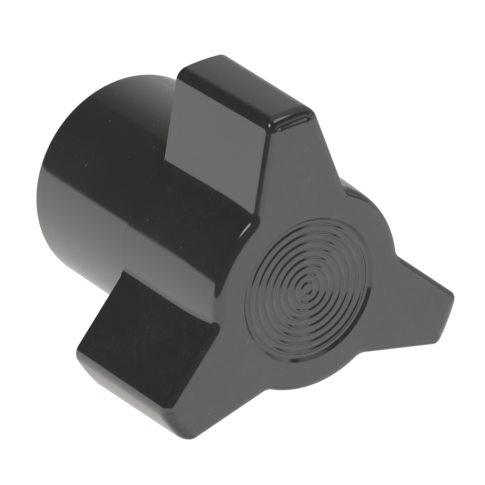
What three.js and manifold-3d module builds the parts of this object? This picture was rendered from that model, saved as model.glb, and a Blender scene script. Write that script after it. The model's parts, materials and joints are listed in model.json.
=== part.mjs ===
// Three-wing clamping nut: a phenolic hub with three tapered wings, moulded round a threaded brass insert.
// Millimetres, +Z along the thread axis. The insert's seating end is at z = 0 and one wing points along -Y.
import * as THREE from "three";
import { mergeVertices } from "three/addons/utils/BufferGeometryUtils.js";
import Module from "manifold-3d";

// Moulding: the split plane of the mould runs along the back of the wings, and both halves taper from it.
const footHeight = 0.4; // the insert stands this far proud of the hub's end
const totalHeight = 49.4;
const wingDepth = 24.0; // front face back to the split plane
const hubRadiusFront = 15.9;
const hubRadiusSplit = 16.5;
const hubRadiusFoot = 16.4;
const footRounding = 0.3;
const frontRounding = 1.5; // runs round the whole front outline

// Wings, measured at the front face
const wingCount = 3;
const tipDistance = 28.1; // axis to the middle of the tip
const tipCrown = 30; // radius of the tip's outward bow
const tipHalfWidth = 3.75;
const rootHalfWidth = 7.15; // where the wing meets the hub's radius
const tipCornerRadius = 1.6;
const sharpestCorner = 0.15; // what is left of the tip corners on the front face
const rootFilletRadius = 2.4;
const sideDraft = 0.022; // each side grows by this much per mm towards the back
const tipDraft = 0.012;

// Shallow dished recess in the front face
const recessRadius = 11.1;
const recessFloorRadius = 10.45;
const recessDepth = 0.5;

// Brass insert with a blind 1/2-13 thread
const threadPitch = 25.4 / 13;
const threadMajorRadius = 6.35;
const threadMinorRadius = 5.4;
const threadLength = 19.0;
const drillDepth = 21.5;
const drillPointHeight = 3.1;
const mouthChamfer = 0.5;
const insertRadius = 9.5;
const insertLength = 27.0;
const insertEdge = 0.6; // chamfer at both ends
const knurlDepth = 0.35;
const knurlTeeth = 30;
const grooveRadius = 8.2; // grips the moulding against pull-out
const grooveStart = 12.0;
const grooveEnd = 15.0;
const fitGap = 0.3; // between the insert and the pocket it is moulded into

// Facets
const bowFacets = 2;
const cornerFacets = 4;
const filletFacets = 3;
const hubArcFacets = 10;
const roundingFacets = 4;
const latheFacets = 60;
const threadFacets = 24;

const splitHeight = totalHeight - wingDepth;

const wasm = await Module();
wasm.setup();

function solid(geometry) {
  const bare = geometry.clone();
  bare.deleteAttribute("normal");
  bare.deleteAttribute("uv");
  const merged = mergeVertices(bare, 1e-4);
  return new wasm.Manifold(
    new wasm.Mesh({
      numProp: 3,
      vertProperties: new Float32Array(merged.attributes.position.array),
      triVerts: new Uint32Array(merged.index.array),
    }),
  );
}

function namedMesh(name, manifold, colour, roughness, metalness) {
  const { vertProperties, triVerts } = manifold.getMesh();
  const geometry = new THREE.BufferGeometry();
  geometry.setAttribute("position", new THREE.BufferAttribute(vertProperties, 3));
  geometry.setIndex(new THREE.BufferAttribute(triVerts, 1));
  geometry.computeVertexNormals();
  const material = new THREE.MeshStandardMaterial({ color: colour, roughness, metalness });
  const mesh = new THREE.Mesh(geometry, material);
  mesh.name = name;
  return mesh;
}

// LatheGeometry turns its profile about Y; this stands it up along Z. Profiles run up the outside, from axis to axis.
function turned(profile, facets) {
  const points = profile.map(([radius, height]) => new THREE.Vector2(radius, height));
  return solid(new THREE.LatheGeometry(points, facets).rotateX(Math.PI / 2));
}

// Joins outlines of equal length, listed from the bottom up and anticlockwise from above, into one closed skin.
function loft(sections) {
  const count = sections[0].outline.length;
  const positions = sections.flatMap(({ z, outline }) => outline.flatMap((p) => [p.x, p.y, z]));
  const index = [];
  for (let level = 0; level + 1 < sections.length; level++) {
    for (let i = 0; i < count; i++) {
      const a = level * count + i;
      const b = level * count + ((i + 1) % count);
      index.push(a, b, b + count, a, b + count, a + count);
    }
  }
  const top = (sections.length - 1) * count;
  for (const [a, b, c] of THREE.ShapeUtils.triangulateShape(sections[0].outline, [])) {
    index.push(a, c, b, top + a, top + b, top + c);
  }
  const geometry = new THREE.BufferGeometry();
  geometry.setAttribute("position", new THREE.Float32BufferAttribute(positions, 3));
  geometry.setIndex(index);
  return solid(geometry);
}

function arc(x, y, radius, from, to, facets) {
  return new THREE.EllipseCurve(x, y, radius, radius, from, to, to < from).getPoints(facets);
}

// The outer point where the line y = line - slope * x meets a circle about the origin.
function meet(line, slope, radius) {
  const square = 1 + slope ** 2;
  const x = (line * slope + Math.sqrt(square * radius ** 2 - line ** 2)) / square;
  return [x, line - slope * x];
}

// Plan outline of the winged block at a distance back from the front face, pulled in by an inset.
// Each wing's flanks taper to its bowed tip; arcs round the tip corners and fill the roots.
function plan(back, inset) {
  const slope = (rootHalfWidth - tipHalfWidth) / (tipDistance - hubRadiusFront);
  const lean = Math.hypot(1, slope);
  const flank = rootHalfWidth + slope * hubRadiusFront + sideDraft * back - inset * lean;
  const flankAngle = Math.atan2(1, slope); // direction of the flank's outward normal
  const hub = hubRadiusFront + (hubRadiusSplit - hubRadiusFront) * (back / wingDepth) - inset;

  const tip = tipDistance + tipDraft * back - inset;
  const bow = tipCrown - inset;
  const bowCentre = tip - bow;
  const corner = Math.max(tipCornerRadius - inset, sharpestCorner);
  const [reach, cornerY] = meet(flank - corner * lean - slope * bowCentre, slope, bow - corner);
  const cornerX = bowCentre + reach;
  const bowAngle = Math.atan2(cornerY, reach); // where the bow meets the corner

  const fillet = rootFilletRadius + inset;
  const [filletX, filletY] = meet(flank + fillet * lean, slope, hub + fillet);
  const hubAngle = Math.atan2(filletY, filletX); // where the fillet leaves the hub, off the wing's middle

  // half a wing, from the middle of the tip in to the hub, and its mirror image out again
  const flankOut = [
    ...arc(bowCentre, 0, bow, 0, bowAngle, bowFacets).slice(0, -1),
    ...arc(cornerX, cornerY, corner, bowAngle, flankAngle, cornerFacets),
    ...arc(filletX, filletY, fillet, flankAngle - Math.PI, hubAngle - Math.PI, filletFacets),
  ];
  const flankIn = flankOut.slice(1).map((p) => new THREE.Vector2(p.x, -p.y)).reverse();
  const gap = (2 * Math.PI) / wingCount - hubAngle;
  const hubArc = arc(0, 0, hub, hubAngle, gap, hubArcFacets).slice(1, -1);
  const centre = new THREE.Vector2();
  return Array.from({ length: wingCount }, (_, k) => (2 * Math.PI * k) / wingCount - Math.PI / 2).flatMap(
    (turn) => [...flankIn, ...flankOut, ...hubArc].map((p) => p.clone().rotateAround(centre, turn)),
  );
}

function wingedBlock() {
  const sections = [{ z: splitHeight, outline: plan(wingDepth, 0) }];
  for (let i = 0; i <= roundingFacets; i++) {
    const t = (Math.PI / 2) * (i / roundingFacets);
    const back = frontRounding * (1 - Math.sin(t));
    sections.push({ z: totalHeight - back, outline: plan(back, frontRounding * (1 - Math.cos(t))) });
  }
  return loft(sections);
}

// The hub below the split plane, with a spigot that carries it up into the winged block.
function hub() {
  const spigot = 2;
  const edge = arc(
    hubRadiusFoot - footRounding,
    footHeight + footRounding,
    footRounding,
    -Math.PI / 2,
    0,
    roundingFacets,
  );
  return turned(
    [
      [0, footHeight],
      ...edge.map((p) => [p.x, p.y]),
      [hubRadiusSplit, splitHeight],
      [hubRadiusSplit - spigot, splitHeight + spigot],
      [0, splitHeight + spigot],
    ],
    latheFacets,
  );
}

function recess() {
  const clearance = 1;
  const flare = (recessRadius - recessFloorRadius) / recessDepth;
  return turned(
    [
      [0, totalHeight - recessDepth],
      [recessFloorRadius, totalHeight - recessDepth],
      [recessRadius + flare * clearance, totalHeight + clearance],
      [0, totalHeight + clearance],
    ],
    latheFacets,
  );
}

// The pocket follows the insert with the fit gap all round, so the moulding keys into the groove.
function insertPocket() {
  const wall = insertRadius + fitGap;
  return turned(
    [
      [0, -footHeight],
      [wall, -footHeight],
      [wall, grooveStart + fitGap],
      [grooveRadius + fitGap, grooveStart + fitGap],
      [grooveRadius + fitGap, grooveEnd - fitGap],
      [wall, grooveEnd - fitGap],
      [wall, insertLength + fitGap],
      [0, insertLength + fitGap],
    ],
    latheFacets,
  );
}

// A band of straight knurling: the teeth alternate between full radius and root.
function knurlBand(from, to) {
  const ring = (grow) =>
    Array.from({ length: 2 * knurlTeeth }, (_, i) => {
      const angle = (Math.PI * i) / knurlTeeth;
      const radius = insertRadius - (i % 2) * knurlDepth - grow;
      return new THREE.Vector2(radius * Math.cos(angle), radius * Math.sin(angle));
    });
  return loft([
    { z: from, outline: ring(insertEdge) },
    { z: from + insertEdge, outline: ring(0) },
    { z: to - insertEdge, outline: ring(0) },
    { z: to, outline: ring(insertEdge) },
  ]);
}

// A right-hand screw shape that cuts the thread. Every row climbs one pitch per turn, so the last column
// of the grid meets the first one pitch higher, and the two ends close on points of the axis.
function threadCutter() {
  const flat = threadPitch / 8;
  const form = [
    [threadMinorRadius, 0],
    [threadMinorRadius, 2 * flat],
    [threadMajorRadius, 4.5 * flat],
    [threadMajorRadius, 5.5 * flat],
  ];
  const start = -2 * threadPitch;
  const turns = Math.floor((threadLength - start) / threadPitch) - 1;
  const rows = turns * form.length + 1;
  const positions = [];
  for (let column = 0; column <= threadFacets; column++) {
    const angle = (2 * Math.PI * column) / threadFacets;
    for (let row = 0; row < rows; row++) {
      const [radius, rise] = form[row % form.length];
      const turn = Math.floor(row / form.length) + column / threadFacets;
      positions.push(radius * Math.cos(angle), radius * Math.sin(angle), start + turn * threadPitch + rise);
    }
  }
  const index = [];
  for (let column = 0; column < threadFacets; column++) {
    for (let row = 0; row + 1 < rows; row++) {
      const a = column * rows + row;
      index.push(a, a + rows, a + rows + 1, a, a + rows + 1, a + 1);
    }
  }
  const foot = positions.length / 3;
  positions.push(0, 0, start, 0, 0, start + (turns + 1) * threadPitch);
  for (let column = 0; column < threadFacets; column++) {
    const a = column * rows;
    index.push(foot, a + rows, a, foot + 1, a + rows - 1, a + 2 * rows - 1);
  }
  const last = threadFacets * rows;
  for (let row = 0; row < form.length; row++) {
    index.push(foot, row, row + 1); // the step at the seam, below
    index.push(foot + 1, last + rows - 1 - row, last + rows - 2 - row); // and above
  }
  const geometry = new THREE.BufferGeometry();
  geometry.setAttribute("position", new THREE.Float32BufferAttribute(positions, 3));
  geometry.setIndex(index);
  return solid(geometry);
}

// The tapping hole with its drill point and the chamfered mouth.
function tappingHole() {
  const mouth = threadMajorRadius + mouthChamfer;
  return turned(
    [
      [0, -mouthChamfer],
      [mouth + mouthChamfer, -mouthChamfer],
      [threadMinorRadius, mouth - threadMinorRadius],
      [threadMinorRadius, drillDepth],
      [0, drillDepth + drillPointHeight],
    ],
    threadFacets,
  );
}

function insertCore() {
  const margin = insertEdge / 2; // sinks the core's ends below the knurled bands' ends
  return turned(
    [
      [0, margin],
      [grooveRadius, margin],
      [grooveRadius, insertLength - margin],
      [0, insertLength - margin],
    ],
    latheFacets,
  );
}

const knobBody = wingedBlock().add(hub()).subtract(recess()).subtract(insertPocket());
const insert = insertCore()
  .add(knurlBand(0, grooveStart))
  .add(knurlBand(grooveEnd, insertLength))
  .subtract(tappingHole())
  .subtract(threadCutter());

const nut = new THREE.Group();
nut.add(namedMesh("knob_body", knobBody, 0x17181a, 0.22, 0));
nut.add(namedMesh("threaded_insert", insert, 0xb08d45, 0.35, 1));

export default nut;
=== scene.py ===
# Three-wing clamping nut: a glossy black phenolic moulding on a threaded brass insert.
# Shapes are worked out in millimetres along the thread axis (+Z) and written to the meshes in metres.
import json
import math

import bpy
import numpy as np
from mathutils import Matrix, Vector

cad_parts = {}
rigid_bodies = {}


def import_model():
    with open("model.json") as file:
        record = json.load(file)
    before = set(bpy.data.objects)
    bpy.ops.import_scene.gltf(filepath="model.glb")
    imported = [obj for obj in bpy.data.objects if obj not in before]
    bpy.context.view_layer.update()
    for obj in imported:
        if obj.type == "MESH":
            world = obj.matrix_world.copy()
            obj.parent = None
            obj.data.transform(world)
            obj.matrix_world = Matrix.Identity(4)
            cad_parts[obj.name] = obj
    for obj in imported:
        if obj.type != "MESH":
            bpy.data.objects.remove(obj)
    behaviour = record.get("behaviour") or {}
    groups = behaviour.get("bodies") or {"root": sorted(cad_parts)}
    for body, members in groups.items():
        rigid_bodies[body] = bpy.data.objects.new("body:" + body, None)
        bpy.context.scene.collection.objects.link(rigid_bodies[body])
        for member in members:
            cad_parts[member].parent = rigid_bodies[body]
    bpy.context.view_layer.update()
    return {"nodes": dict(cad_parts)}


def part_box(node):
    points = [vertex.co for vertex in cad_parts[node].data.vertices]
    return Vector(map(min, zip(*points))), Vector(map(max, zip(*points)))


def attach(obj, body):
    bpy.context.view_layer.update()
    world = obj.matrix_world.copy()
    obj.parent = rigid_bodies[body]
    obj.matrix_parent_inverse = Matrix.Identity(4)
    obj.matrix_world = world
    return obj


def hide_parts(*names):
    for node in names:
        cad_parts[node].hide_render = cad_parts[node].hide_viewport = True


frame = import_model()
print("frame loaded:", ", ".join(sorted(frame["nodes"])))

mm = 0.001


class Wire:
    # One output of a node tree. + - * with wires or numbers add Math nodes.
    def __init__(self, tree, socket=None):
        self.tree = tree
        self.socket = socket

    def node(self, kind, settings=None, values=None, output=0):
        # Makes any node: settings first, then the values or wires of its sockets.
        made = self.tree.nodes.new(kind)
        for name, value in (settings or {}).items():
            setattr(made, name, value)
        for name, value in (values or {}).items():
            if isinstance(value, Wire):
                self.tree.links.new(value.socket, made.inputs[name])
            else:
                made.inputs[name].default_value = value
        return Wire(self.tree, made.outputs[output] if len(made.outputs) else None)

    def beside(self, output):
        # another output of the same node
        return Wire(self.tree, self.socket.node.outputs[output])

    def maths(self, operation, *values):
        return self.node("ShaderNodeMath", {"operation": operation}, dict(enumerate(values)))

    def __add__(self, other):
        return self.maths("ADD", self, other)

    def __sub__(self, other):
        return self.maths("SUBTRACT", self, other)

    def __rsub__(self, other):
        return self.maths("SUBTRACT", other, self)

    def __mul__(self, other):
        return self.maths("MULTIPLY", self, other)

    __radd__ = __add__
    __rmul__ = __mul__

    def along(self, direction):
        # how far a vector reaches along a fixed direction
        settings = {"operation": "DOT_PRODUCT"}
        return self.node("ShaderNodeVectorMath", settings, {0: self, 1: direction}, "Value")

    def step(self, low, high):
        # 0 below low, 1 above high, smooth between; falls instead where low > high
        settings = {"interpolation_type": "SMOOTHSTEP"}
        if low > high:
            return 1 - self.step(high, low)
        ends = {"Value": self, "From Min": low, "From Max": high}
        return self.node("ShaderNodeMapRange", settings, ends)

    def mixed(self, first, second):
        # first where this wire is 0, second where it is 1, as colours
        settings = {"data_type": "RGBA"}
        return self.node("ShaderNodeMix", settings, {"Factor": self, 6: first, 7: second}, 2)


def newMaterial(name):
    material = bpy.data.materials.new(name)
    material.use_nodes = True
    material.node_tree.nodes.clear()
    return material, Wire(material.node_tree)


def closedGrid(name, points, firstPole, lastPole, attributes=None):
    # Rows of points run from firstPole out, down the outside and back up to lastPole. Each row is a
    # closed ring, anticlockwise from above, so quads row to row and fans at the poles face outwards.
    rows, columns, _ = points.shape
    count = rows * columns
    corner = np.arange(count).reshape(rows, columns)
    beside = np.roll(corner, -1, axis=1)
    quads = np.stack([corner[:-1], corner[1:], beside[1:], beside[:-1]], axis=-1).reshape(-1, 4)
    firstFan = np.stack([np.full(columns, count), corner[0], beside[0]], axis=-1)
    lastFan = np.stack([np.full(columns, count + 1), beside[-1], corner[-1]], axis=-1)
    fans = np.concatenate([firstFan, lastFan])
    vertices = np.concatenate([points.reshape(-1, 3), [firstPole, lastPole]]) * mm
    loops = np.concatenate([quads.ravel(), fans.ravel()])
    starts = np.concatenate([np.arange(len(quads)) * 4, len(quads) * 4 + np.arange(len(fans)) * 3])
    mesh = bpy.data.meshes.new(name)
    mesh.vertices.add(len(vertices))
    mesh.vertices.foreach_set("co", vertices.ravel())
    mesh.loops.add(len(loops))
    mesh.loops.foreach_set("vertex_index", loops)
    mesh.polygons.add(len(starts))
    mesh.polygons.foreach_set("loop_start", starts)
    mesh.polygons.foreach_set("use_smooth", np.ones(len(starts), dtype=bool))
    mesh.update(calc_edges=True)
    for label, values in (attributes or {}).items():
        layer = mesh.attributes.new(label, "FLOAT", "POINT")
        layer.data.foreach_set("value", np.append(values.ravel(), [0.0, 0.0]))
    mesh.validate()
    made = bpy.data.objects.new(name, mesh)
    bpy.context.scene.collection.objects.link(made)
    return made


def roundedProfile(corners, steps):
    # corners are (radius, height, rounding). Each inner corner becomes an arc tangent to both of its
    # legs: it starts rounding * tan(half the turn) before the corner and sweeps by the turn.
    path = np.array(corners, dtype=float)
    spot = path[1:-1, :2]
    inward = spot - path[:-2, :2]
    onward = path[2:, :2] - spot
    inward /= np.linalg.norm(inward, axis=1, keepdims=True)
    onward /= np.linalg.norm(onward, axis=1, keepdims=True)
    cross = inward[:, 0] * onward[:, 1] - inward[:, 1] * onward[:, 0]
    turn = np.arctan2(cross, (inward * onward).sum(axis=1))
    radius = path[1:-1, 2]
    side = np.sign(turn)[:, None] * np.stack([-inward[:, 1], inward[:, 0]], axis=1)
    start = spot - inward * (radius * np.tan(np.abs(turn) / 2))[:, None]
    sweep = np.abs(turn)[:, None] * np.linspace(0, 1, steps)
    along = inward[:, None, :] * np.sin(sweep)[..., None]
    across = side[:, None, :] * (1 - np.cos(sweep))[..., None]
    arcs = start[:, None, :] + radius[:, None, None] * (along + across)
    return np.concatenate([path[:1, :2], arcs.reshape(-1, 2), path[-1:, :2]])


nutShape = {
    "wings": 3,
    "firstWing": -90.0,  # degrees, the wing along -Y
    "wingDepth": 24.0,  # front face to the split line
    "hubFront": 16.15,  # hub radius at the front face, before it draws in
    "hubSplit": 16.48,
    "hubFoot": 16.38,
    "splitStep": 0.008,  # the rear half of the mould is this much smaller
    "footRounding": 0.3,
    "tip": 28.07,  # axis to the middle of the tip, at the front
    "tipCrown": 30.0,  # radius of the tip's outward bow
    "tipHalfWidth": 3.75,
    "rootHalfWidth": 7.15,  # at the root distance from the axis
    "rootDistance": 15.9,
    "tipCorner": 2.1,
    "sharpestCorner": 0.3,
    "rootFillet": 2.4,
    "sideDraft": 0.022,
    "tipDraft": 0.012,
    "tipRounding": 2.2,  # front edge at the wings' tips
    "edgeRounding": 1.3,  # and along the flanks and the hub
    "leadLength": 9.0,  # the hub starts to draw in this far behind the front face
    "leadInset": 0.45,
    "rearRounding": 0.22,  # rear edge of the wings
    "sharpestRear": 0.015,  # what is left of it on the hub
    "neckFillet": 0.6,  # where the wings' rear faces meet the hub
    "pocketRadius": 9.56,
    "pocketDepth": 27.1,
    "pocketMouth": 0.12,  # roundings of the pocket's mouth and of its far end
    "pocketEnd": 0.2,
}

recessShape = {
    "rim": 11.12,
    "floor": 10.62,
    "depth": 0.4,
    "edge": 0.09,  # rounding at the rim and at the foot of the wall
    "margin": 0.3,  # of plain face kept round outside the rim
    "centre": 0.12,  # radius of the innermost row of points
    "rings": 8,
    "firstRing": 0.91,
    "pitch": 1.27,
    "ringWidth": 0.88,
    "ringHeight": 0.155,
}

# points along one half outline, and rows of points in each ring, front rounding, small arc and bend
meshCounts = {"corner": 9, "fillet": 9, "hub": 16, "ring": 20, "front": 14, "arc": 6, "foot": 9}


def segmentSteps():
    # Places along the half outline: segment number (tip, corner, flank, fillet, hub) plus 0 to 1 in it.
    flank = np.array([0.0, 0.01, 0.05, 0.2, 0.35, 0.5, 0.65, 0.8, 0.95, 0.99])
    tip = np.array([0.0, 0.25, 0.5, 0.75, 0.92, 0.99])
    corner = np.arange(meshCounts["corner"]) / meshCounts["corner"]
    fillet = np.arange(meshCounts["fillet"]) / meshCounts["fillet"]
    hub = np.linspace(0, 1, meshCounts["hub"])
    return np.concatenate([tip, 1 + corner, 2 + flank, 3 + fillet, 4 + hub])


def smooth(value):
    # 0 below 0, 1 above 1, and t^2 (3 - 2 t) between
    t = np.clip(value, 0, 1)
    return t**2 * (3 - 2 * t)


def meet(line, slope, radius):
    # The outer point where the line y = line - slope x meets the circle x^2 + y^2 = radius^2.
    square = 1 + slope**2
    x = (line * slope + np.sqrt(square * radius**2 - line**2)) / square
    return x, line - slope * x


def halfOutline(place, back, inset, draw):
    # Half of one wing with the wing along +X: the tip's bow, a circle of radius bow, a corner arc, the
    # flank y = flank - slope x, a root arc tangent to the flank and the hub, and the hub's circle.
    # back is the distance behind the front face. inset pulls the whole outline in, draw only the hub.
    s = nutShape
    slope = (s["rootHalfWidth"] - s["tipHalfWidth"]) / (s["tip"] - s["rootDistance"])
    lean = math.hypot(1, slope)
    flankAngle = math.atan2(1, slope)
    flank = s["rootHalfWidth"] + slope * s["rootDistance"] + s["sideDraft"] * back - inset * lean
    hub = s["hubFront"] + (s["hubSplit"] - s["hubFront"]) * back / s["wingDepth"] - inset - draw
    tip = s["tip"] + s["tipDraft"] * back - inset
    bow = s["tipCrown"] - inset
    bowCentre = tip - bow
    corner = np.maximum(s["tipCorner"] - inset, s["sharpestCorner"])
    reach, cornerY = meet(flank - corner * lean - slope * bowCentre, slope, bow - corner)
    cornerX = bowCentre + reach
    bowAngle = np.arctan2(cornerY, reach)
    fillet = s["rootFillet"] + inset
    filletX, filletY = meet(flank + fillet * lean, slope, hub + fillet)
    hubAngle = np.arctan2(filletY, filletX)

    segment = np.minimum(np.floor(place), 4)
    t = place - segment
    bowTurn = t * bowAngle
    cornerTurn = bowAngle + t * (flankAngle - bowAngle)
    flankStart = (cornerX + corner * math.cos(flankAngle), cornerY + corner * math.sin(flankAngle))
    flankEnd = (filletX - fillet * math.cos(flankAngle), filletY - fillet * math.sin(flankAngle))
    filletTurn = flankAngle + t * (hubAngle - flankAngle)
    hubTurn = hubAngle + t * (math.pi / s["wings"] - hubAngle)
    x = np.select(
        [segment == 0, segment == 1, segment == 2, segment == 3],
        [
            bowCentre + bow * np.cos(bowTurn),
            cornerX + corner * np.cos(cornerTurn),
            flankStart[0] + t * (flankEnd[0] - flankStart[0]),
            filletX - fillet * np.cos(filletTurn),
        ],
        hub * np.cos(hubTurn),
    )
    y = np.select(
        [segment == 0, segment == 1, segment == 2, segment == 3],
        [
            bow * np.sin(bowTurn),
            cornerY + corner * np.sin(cornerTurn),
            flankStart[1] + t * (flankEnd[1] - flankStart[1]),
            filletY - fillet * np.sin(filletTurn),
        ],
        hub * np.sin(hubTurn),
    )
    return x, y


def allRound(x, y):
    # One wing is the half outline's mirror image, backwards, and then the half outline. Its copies are
    # turned about Z: x cos a - y sin a, x sin a + y cos a.
    wingX = np.concatenate([x[:, :0:-1], x[:, :-1]], axis=1)
    wingY = np.concatenate([-y[:, :0:-1], y[:, :-1]], axis=1)
    turns = np.radians(nutShape["firstWing"] + 360 / nutShape["wings"] * np.arange(nutShape["wings"]))
    cos, sin = np.cos(turns)[None, :, None], np.sin(turns)[None, :, None]
    fullX = wingX[:, None, :] * cos - wingY[:, None, :] * sin
    fullY = wingX[:, None, :] * sin + wingY[:, None, :] * cos
    return fullX.reshape(len(x), -1), fullY.reshape(len(x), -1)


def bodyPoints(frontZ, footZ):
    # Every row has a height, a share of the winged outline (0 is a circle), the circle's radius, and
    # the outline's back and inset. The point is circle + share * (outline - circle). A front row's
    # circle has even columns, and a rear row's has them in the directions of the rear outline's points.
    # wear is how far an edge is rubbed, for the finish.
    s, r, count = nutShape, recessShape, meshCounts
    frontRow, rearRow = 0.0, 1.0
    place = segmentSteps()[None, :]
    onWing = 1 - smooth(place - 3)  # falls to 0 along the root fillet
    ones = np.ones_like(place)
    splitZ = frontZ - s["wingDepth"]
    rows = []

    def addRows(kind, z, share, radius, back, inset, wear=0.0):
        size = (len(z), place.size)
        fields = (z, share, radius, back, inset, wear, kind)
        rows.append(np.stack([np.broadcast_to(np.atleast_2d(f) * ones, size) for f in fields]))

    def column(values):
        return np.asarray(values, dtype=float)[:, None]

    # recess floor with its rings: each is a ridge of height * cos(pi across / width)^2
    turn = 2 * math.pi * np.arange(-0.5, r["rings"] - 0.5, 1 / count["ring"])
    floorZ = frontZ - r["depth"]
    radius = column(np.append([r["centre"]], r["firstRing"] + r["pitch"] * turn / (2 * math.pi)))
    across = (turn / (2 * math.pi) + 0.5) % 1.0 - 0.5
    across = np.clip(across * r["pitch"] / r["ringWidth"], -0.5, 0.5)
    ridge = r["ringHeight"] * np.cos(math.pi * across) ** 2
    addRows(frontRow, floorZ + column(np.append([0.0], ridge)), 0, radius, 0, s["tipRounding"])
    outside = r["rim"] + r["margin"]
    wall = roundedProfile(
        [(r["floor"] - 0.15, floorZ, 0), (r["floor"], floorZ, r["edge"]), (r["rim"], frontZ, r["edge"]),
         (outside, frontZ, 0)],
        count["arc"],
    )
    addRows(frontRow, column(wall[:, 1]), 0, column(wall[:, 0]), 0, s["tipRounding"])

    # front face, out to the rounding
    offTip = smooth(place - 1)  # rises to 1 round the tip's corner
    rounding = s["tipRounding"] + (s["edgeRounding"] - s["tipRounding"]) * offTip
    addRows(frontRow, column([frontZ, frontZ]), column([0.4, 0.8]), outside, 0, rounding)
    turn = column(np.linspace(0, math.pi / 2, count["front"]))
    addRows(frontRow, column([frontZ]), 1, r["rim"], 0, rounding + 0.06)
    back = rounding * (1 - np.sin(turn))
    addRows(frontRow, frontZ - back, 1, r["rim"], back, rounding * (1 - np.cos(turn)))
    rows[-1] = rows[-1][:, ::-1]

    # sides, drafted towards the split line, and the rear edge
    rear = s["sharpestRear"] + (s["rearRounding"] - s["sharpestRear"]) * onWing
    down = column([0.004, 0.03, 0.07, 0.11, 0.15, 0.19, 0.23, 0.27, 0.31, 0.5, 0.75, 0.95, 0.998])
    back = rounding + (s["wingDepth"] - rear - rounding) * down
    addRows(frontRow, frontZ - back, 1, r["rim"], back, 0)
    turn = column(np.linspace(0, math.pi / 2, count["arc"]))
    back = s["wingDepth"] - rear + rear * np.sin(turn)
    wear = np.sin(2 * turn) * onWing
    addRows(frontRow, frontZ - back, 1, r["rim"], back, rear * (1 - np.cos(turn)), wear)

    # the wings' rear faces, in to the hub, with a fillet round the neck
    neck = s["hubSplit"] - s["splitStep"]
    fillet = s["neckFillet"] * onWing**2
    addRows(rearRow, column([splitZ]), 1, neck + fillet, s["wingDepth"], rear + 0.04)
    addRows(rearRow, column([splitZ, splitZ]), column([0.5, 0.02]), neck + fillet, s["wingDepth"], rear)
    turn = column(np.linspace(0, math.pi / 2, count["arc"]))
    z = splitZ - fillet * (1 - np.cos(turn))
    addRows(rearRow, z, 0, neck + fillet * (1 - np.sin(turn)), s["wingDepth"], rear)

    # hub down to the foot, and the pocket up inside it
    slope = (neck - s["hubFoot"]) / (splitZ - footZ)
    down = column([0.04, 1.0, 3.0, 8.0, 13.0, 18.0, 22.0])
    addRows(rearRow, splitZ - fillet - down, 0, neck - slope * down, s["wingDepth"], rear)
    foot = roundedProfile(
        [(s["hubFoot"] + slope * 2.0, footZ + 2.0, 0), (s["hubFoot"], footZ, s["footRounding"]),
         (s["pocketRadius"], footZ, s["pocketMouth"]),
         (s["pocketRadius"], s["pocketDepth"], s["pocketEnd"]), (0.3, s["pocketDepth"], 0)],
        count["foot"],
    )
    addRows(rearRow, column(foot[:, 1]), 0, column(foot[:, 0]), s["wingDepth"], rear)

    z, share, radius, back, inset, wear, kind = np.concatenate(rows, axis=1)
    draw = s["leadInset"] * np.clip(1 - back / s["leadLength"], 0, 1) ** 2
    outlineX, outlineY = allRound(*halfOutline(place, back, inset, draw))
    half = place.size - 1
    even = np.linspace(0, math.pi / s["wings"], half + 1)[None, :]
    evenX, evenY = allRound(np.cos(even), np.sin(even))
    rearX, rearY = allRound(*halfOutline(place, s["wingDepth"] * ones, 0 * ones, 0 * ones))
    rearLength = np.hypot(rearX, rearY)
    spread = [np.concatenate([f[:, :0:-1], f[:, :-1]], axis=1) for f in (z, share, radius, wear, kind)]
    z, share, radius, wear, kind = [np.tile(f, (1, s["wings"])) for f in spread]
    circleX = np.where(kind > 0.5, rearX / rearLength, evenX) * radius
    circleY = np.where(kind > 0.5, rearY / rearLength, evenY) * radius
    x = circleX + share * (outlineX - circleX)
    y = circleY + share * (outlineY - circleY)
    return np.stack([x, y, z], axis=-1), wear


bodyLow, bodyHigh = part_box("knob_body")
frontZ, footZ = bodyHigh.z / mm, bodyLow.z / mm
points, wear = bodyPoints(frontZ, footZ)
body = closedGrid(
    "winged_body",
    points,
    (0, 0, frontZ - recessShape["depth"]),
    (0, 0, nutShape["pocketDepth"]),
    {"edgeWear": wear},
)
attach(body, "root")
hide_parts("knob_body")
print("winged body:", len(body.data.polygons), "faces")


insertShape = {
    "radius": 9.5,
    "length": 27.0,
    "edge": 0.6,
    "knurlDepth": 0.35,
    "teeth": 60,
    "grooveRadius": 8.2,
    "grooveStart": 12.0,
    "grooveEnd": 15.0,
    "pitch": 25.4 / 13,
    "major": 6.35,
    "minor": 5.4,
    "threadLength": 19.0,
    "drillDepth": 21.5,
    "drillPoint": 3.1,
    "mouth": 0.5,
}


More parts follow.
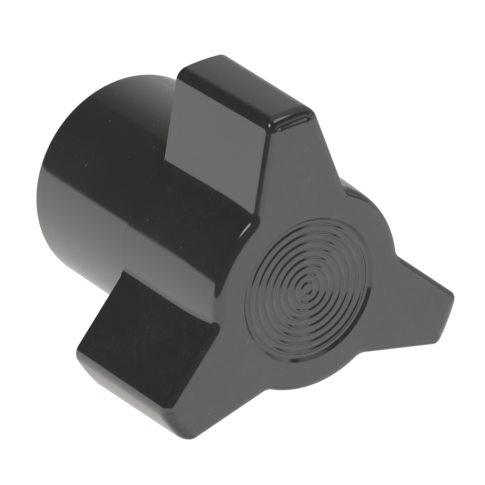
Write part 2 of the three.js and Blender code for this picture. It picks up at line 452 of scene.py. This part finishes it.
def insertPoints(seat, columns=240):
    # A turned profile of (radius, height over the seat, knurl share, thread share). The knurl takes its
    # depth times a tooth wave of the angle off the radius. The thread adds its depth times a trapezium
    # wave of height / pitch - angle / full turn, which climbs one pitch per turn and closes at the seam.
    s = insertShape
    edge = s["edge"]

    def band(bottom, top):
        return [(s["radius"] - edge, top, 0, 0), (s["radius"] - 0.1, top - edge + 0.1, 1, 0),
                (s["radius"], top - edge - 0.05, 1, 0), (s["radius"], bottom + edge + 0.05, 1, 0),
                (s["radius"] - 0.1, bottom + edge - 0.1, 1, 0), (s["radius"] - edge, bottom, 0, 0)]

    outside = [(0.4, s["length"], 0, 0), (s["radius"] - edge - 0.1, s["length"], 0, 0)]
    outside += band(s["grooveEnd"], s["length"])
    outside += [(s["grooveRadius"], s["grooveEnd"], 0, 0), (s["grooveRadius"], s["grooveStart"], 0, 0)]
    outside += band(0.0, s["grooveStart"])
    mouth = s["major"] + s["mouth"]
    inside = [(s["radius"] - edge - 0.1, 0, 0, 0), (mouth + 0.08, 0, 0, 0), (mouth, 0.03, 0, 0)]
    depth = mouth - s["minor"]
    outside = np.array(outside + inside)
    heights = np.linspace(0.12, s["threadLength"] + 1.0, 260)
    fade = np.clip((s["threadLength"] - heights) / 0.9, 0, 1)
    bore = np.stack([np.full_like(heights, s["minor"]), heights, 0 * heights, fade], axis=1)
    drill = [(s["minor"], s["drillDepth"] - 0.1, 0, 0), (s["minor"] - 0.06, s["drillDepth"], 0, 0),
             (0.3, s["drillDepth"] + s["drillPoint"] * 0.95, 0, 0)]
    profile = np.concatenate([outside, bore, np.array(drill)])
    angle = np.linspace(0, 2 * math.pi, columns, endpoint=False)[None, :]
    radius, z, knurled, threaded = (profile[:, i : i + 1] for i in range(4))
    tooth = 0.5 - 0.5 * np.cos(s["teeth"] * angle)
    phase = (z / s["pitch"] - angle / (2 * math.pi)) % 1.0
    climb = np.clip((phase - 0.25) / 0.3125, 0, 1) - np.clip((phase - 0.6875) / 0.3125, 0, 1)
    cut = s["minor"] + (s["major"] - s["minor"]) * climb * threaded
    sink = mouth - z  # the countersink's cone, which the thread runs out into
    r = radius - s["knurlDepth"] * tooth * knurled
    r = np.where(threaded > 0, np.maximum(cut, sink), r)
    return np.stack([r * np.cos(angle), r * np.sin(angle), z + seat + 0 * angle], axis=-1)


insertLow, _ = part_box("threaded_insert")
seat = insertLow.z / mm
insert = closedGrid(
    "brass_insert",
    insertPoints(seat),
    (0, 0, seat + insertShape["length"]),
    (0, 0, seat + insertShape["drillDepth"] + insertShape["drillPoint"]),
)
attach(insert, "root")
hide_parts("threaded_insert")
print("brass insert:", len(insert.data.polygons), "faces")


phenolicFinish = {
    "black": (0.0188, 0.0191, 0.0192, 1),
    "greyer": (0.0262, 0.0265, 0.0258, 1),
    "dust": (0.12, 0.116, 0.108, 1),
    "rubbed": (0.07, 0.068, 0.064, 1),  # where the wings' rear edges are worn
    "gloss": 0.06,  # roughness where it is best polished
    "haze": 0.05,  # most that the haze adds
    "index": 1.55,
    "ripple": 0.000004,  # metres
    "scratch": 0.000006,
}


def phenolicMaterial():
    # Compression-moulded phenolic: near-black resin, a mirror gloss with a little haze and ripple,
    # hairline scratches, specks of dust and a duller line where the mould's halves met.
    f = phenolicFinish
    material, wire = newMaterial("black_phenolic")
    place = wire.node("ShaderNodeTexCoord", output="Object")
    cloud = wire.node("ShaderNodeTexNoise", None, {"Vector": place, "Scale": 70.0, "Detail": 4.0})
    grain = wire.node("ShaderNodeTexNoise", None, {"Vector": place, "Scale": 900.0, "Detail": 3.0})
    ripple = wire.node("ShaderNodeTexNoise", None, {"Vector": place, "Scale": 160.0, "Detail": 1.0})
    turned = wire.node("ShaderNodeMapping", None, {
        "Vector": place, "Rotation": (0.4, 0.9, 0.6), "Scale": (60.0, 2600.0, 2600.0)})
    hairline = wire.node("ShaderNodeTexNoise", None, {"Vector": turned, "Scale": 1.0, "Detail": 2.0})
    scratch = hairline.step(0.70, 0.78)
    cells = wire.node("ShaderNodeTexVoronoi", None, {"Vector": place, "Scale": 700.0})
    chosen = cells.beside("Color").along((1.0, 0.0, 0.0))
    speck = cells.step(0.09, 0.04) * chosen.step(0.5, 1.0)
    wornEdge = wire.node("ShaderNodeAttribute", {"attribute_name": "edgeWear"}, output="Fac")
    rub = wornEdge * grain.step(0.45, 0.6)
    colour = (cloud.step(0.35, 0.7) * 0.6 + grain.step(0.4, 0.7) * 0.4).mixed(f["black"], f["greyer"])
    colour = (rub * 0.25).mixed(colour, f["rubbed"])
    colour = (speck * 0.8).mixed(colour, f["dust"])
    roughness = f["gloss"] + f["haze"] * cloud.step(0.3, 0.75) + 0.015 * grain + 0.10 * scratch
    roughness = roughness + 0.12 * rub + 0.4 * speck
    relief = f["ripple"] * ripple - f["scratch"] * scratch + 0.00002 * speck
    normal = wire.node("ShaderNodeBump", None, {"Strength": 1.0, "Distance": 1.0, "Height": relief})
    surface = wire.node("ShaderNodeBsdfPrincipled", None, {
        "Base Color": colour, "Roughness": roughness, "Normal": normal,
        "IOR": f["index"], "Metallic": 0.0})
    wire.node("ShaderNodeOutputMaterial", None, {"Surface": surface})
    return material


brassFinish = {
    "bright": (0.66, 0.47, 0.19, 1),
    "tarnish": (0.36, 0.24, 0.10, 1),
    "roughness": 0.24,
}


def brassMaterial():
    # Turned brass: fine rings left by the tool, patches of tarnish, and duller metal in them.
    f = brassFinish
    material, wire = newMaterial("turned_brass")
    place = wire.node("ShaderNodeTexCoord", output="Object")
    patch = wire.node("ShaderNodeTexNoise", None, {"Vector": place, "Scale": 240.0, "Detail": 5.0})
    axes = wire.node("ShaderNodeSeparateXYZ", None, {"Vector": place})
    x, y, z = axes, axes.beside("Y"), axes.beside("Z")
    reach = axes.maths("SQRT", x * x + y * y)
    rings = wire.node("ShaderNodeCombineXYZ", None, {"X": reach * 9000.0, "Y": z * 9000.0, "Z": 0.0})
    marks = wire.node("ShaderNodeTexNoise", None, {"Vector": rings, "Scale": 1.0, "Detail": 2.0})
    stain = patch.step(0.45, 0.72)
    colour = stain.mixed(f["bright"], f["tarnish"])
    roughness = f["roughness"] + 0.10 * marks + 0.16 * stain
    normal = wire.node("ShaderNodeBump", None, {
        "Strength": 1.0, "Distance": 1.0, "Height": marks * 0.000005 + patch * 0.000004})
    surface = wire.node("ShaderNodeBsdfPrincipled", None, {
        "Base Color": colour, "Metallic": 1.0, "Roughness": roughness, "Normal": normal})
    wire.node("ShaderNodeOutputMaterial", None, {"Surface": surface})
    return material


body.data.materials.append(phenolicMaterial())
insert.data.materials.append(brassMaterial())
print("finishes made")


cameraView = {
    "azimuth": 44.91,  # degrees from -Y towards +X
    "elevation": 49.94,
    "roll": 122.09,  # degrees clockwise
    "aim": (-2.66, 1.61, 27.54),  # millimetres
    "distance": 735.6,
    "lens": 371.1,
    "sensor": 36.0,
}


def cameraAxes(view):
    # back points from the aim to the camera; right and up are turned about it by the roll
    azimuth, elevation, roll = (math.radians(view[k]) for k in ("azimuth", "elevation", "roll"))
    level = Vector((math.cos(azimuth), math.sin(azimuth), 0))
    back = Vector((math.sin(azimuth) * math.cos(elevation), -math.cos(azimuth) * math.cos(elevation),
                   math.sin(elevation)))
    upright = back.cross(level)
    right = level * math.cos(roll) + upright * math.sin(roll)
    up = upright * math.cos(roll) - level * math.sin(roll)
    return right, up, back


right, up, back = cameraAxes(cameraView)
cameraData = bpy.data.cameras.new("camera")
cameraData.lens = cameraView["lens"]
cameraData.sensor_width = cameraView["sensor"]
cameraData.clip_start, cameraData.clip_end = 0.05, 10.0
camera = bpy.data.objects.new("camera", cameraData)
turn = Matrix((right, up, back)).transposed().to_4x4()
aim = Vector(cameraView["aim"]) * mm
camera.matrix_world = Matrix.Translation(aim + back * cameraView["distance"] * mm) @ turn
bpy.context.scene.collection.objects.link(camera)
bpy.context.scene.camera = camera
print("camera placed")


studio = {
    "tilt": 2.3,  # degrees, the tent's upright leans this far from -Y towards +Z
    "table": (0.66, 1.26),  # at the back, and what it gains towards the front
    "dark": (0.21, 0.07),  # the room to the left, and what it gains towards the front
    "wall": (0.12, 0.45),  # step at the wall's left edge, and what it gains to the right
    "boards": (  # strength, left, lower and upper edge: a white one low on the right, a greyer above
        (2.1, (0.81, 0.87), (0.08, 0.14), (0.42, 0.34)),
        (1.2, (0.52, 0.66), (0.46, 0.52), (0.75, 0.6)),
    ),
    "boardEnd": (0.35, 0.0),  # where the boards end towards the back wall
    "lampEdge": 2.0,  # degrees, half the width of a softbox's soft edge
    "lamps": (  # turn from the back wall, height and half width in degrees, strength
        (-122.0, 64.0, 11.0, 6.0),
        (80.0, 68.0, 7.0, 3.6),
    ),
    "warm": (1.0, 0.965, 0.925, 1),
}


def tentAxes():
    # The nut is lit as if it lay on its side: the tent's upright is close to -Y, away is level and
    # points from the camera to the back wall, and aside points to the right of that.
    tilt = math.radians(studio["tilt"])
    upright = Vector((0, -math.cos(tilt), math.sin(tilt)))
    away = (-back + upright * back.dot(upright)).normalized()
    return upright, away.cross(upright), away


def lightTent():
    # Soft studio light by direction: a white table all round below the level, a back wall with two
    # boards in front of it on the right, a dark room on the left, and two softboxes high up.
    s = studio
    upright, aside, away = tentAxes()
    world = bpy.data.worlds.new("light_tent")
    world.use_nodes = True
    world.node_tree.nodes.clear()
    wire = Wire(world.node_tree)
    toward = wire.node("ShaderNodeTexCoord", output="Generated")
    height, side, depth = (toward.along(tuple(axis)) for axis in (upright, aside, away))
    nearness = 0 - depth
    overTable = height + 0.09 * nearness.step(0.0, 0.4)  # below 0 on the table, which is lower in front
    gain = (nearness - 0.12 * side).step(-1.0, 0.1) * height.step(-1.1, -0.6)
    table = s["table"][0] + s["table"][1] * gain
    dark = s["dark"][0] + s["dark"][1] * nearness.step(0.0, 0.8)
    wall = s["wall"][0] * side.step(-0.36, -0.33) + s["wall"][1] * side.step(-0.34, 0.05)
    wall = dark + wall * depth.step(0.0, 0.25)
    light = wall
    for strength, left, lower, upper in s["boards"]:
        onBoard = side.step(*left) * depth.step(*s["boardEnd"])
        onBoard = onBoard * height.step(*lower) * height.step(*upper)
        light = light + onBoard * (strength - wall)
    for turn, lift, spread, strength in s["lamps"]:
        turn, lift = math.radians(turn), math.radians(lift)
        level = away * math.cos(turn) + aside * math.sin(turn)
        aim = upright * math.sin(lift) + level * math.cos(lift)
        inside = math.cos(math.radians(spread - s["lampEdge"]))
        outside = math.cos(math.radians(spread + s["lampEdge"]))
        light = light + strength * toward.along(tuple(aim)).step(outside, inside)
    light = light + overTable.step(0.02, -0.02) * (table - light)
    warm = depth.step(0.3, 0.75).mixed((1, 1, 1, 1), s["warm"])
    glow = wire.node("ShaderNodeBackground", None, {"Color": warm, "Strength": light})
    wire.node("ShaderNodeOutputWorld", None, {"Surface": glow})
    bpy.context.scene.world = world


lightTent()

floorShape = {
    "radius": 1.2,  # metres, as are the next two
    "height": -0.00002,  # just clear of the insert's end
    "dome": 3.0,  # radius of the backdrop
    "columns": 96,
    "rings": 24,
    "domeRings": 40,
    "glow": 0.97,  # the floor's own light
    "paint": 0.08,  # how much it takes from the tent
}


def turnedSheet(name, radii, heights, columns):
    # A profile of radii and heights turned about Z: x = r cos a, y = r sin a. It is closed at its first
    # ring and open at its last.
    angle = np.linspace(0, 2 * math.pi, columns, endpoint=False)
    ring = np.stack([np.cos(angle), np.sin(angle)], axis=-1)
    flat = radii[:, None, None] * ring[None]
    tall = np.broadcast_to(heights[:, None, None], (len(radii), columns, 1))
    points = np.concatenate([flat, tall], axis=-1).reshape(-1, 3)
    corner = np.arange(len(points)).reshape(len(radii), columns)
    beside = np.roll(corner, -1, axis=1)
    quads = np.stack([corner[:-1], corner[1:], beside[1:], beside[:-1]], axis=-1).reshape(-1, 4)
    hub = np.stack([np.full(columns, len(points)), corner[0], beside[0]], axis=-1)
    mesh = bpy.data.meshes.new(name)
    points = np.concatenate([points, [[0, 0, heights[0]]]])
    mesh.from_pydata(points.tolist(), [], quads.tolist() + hub.tolist())
    made = bpy.data.objects.new(name, mesh)
    bpy.context.scene.collection.objects.link(made)
    return made


def paleMaterial(name, glow, paint):
    # mostly its own even light, with a little paint that takes a faint contact shadow
    material, wire = newMaterial(name)
    even = wire.node("ShaderNodeEmission", None, {"Color": (1, 1, 1, 1), "Strength": glow})
    matt = wire.node("ShaderNodeBsdfDiffuse", None, {"Color": (paint, paint, paint, 1)})
    both = wire.node("ShaderNodeAddShader", None, {0: even, 1: matt})
    wire.node("ShaderNodeOutputMaterial", None, {"Surface": both})
    return material


spokes = np.linspace(0.02, 1, floorShape["rings"]) * floorShape["radius"]
flat = np.full(len(spokes), floorShape["height"])
floor = turnedSheet("floor", spokes, flat, floorShape["columns"])
floor.data.materials.append(paleMaterial("pale_floor", floorShape["glow"], floorShape["paint"]))
sweep = np.linspace(-math.pi / 2, math.pi / 2, floorShape["domeRings"])[1:-1]
domeRadii, domeHeights = np.cos(sweep) * floorShape["dome"], np.sin(sweep) * floorShape["dome"]
backdrop = turnedSheet("backdrop", domeRadii, domeHeights, floorShape["columns"])
backdrop.data.materials.append(paleMaterial("pale_backdrop", 1.0, 0.0))
for prop in (floor, backdrop):
    prop.visible_glossy = False
    prop.visible_diffuse = False
    prop.visible_shadow = False
    prop.visible_transmission = False

scene = bpy.context.scene
scene.view_settings.view_transform = "Standard"
print("light, floor and backdrop set")
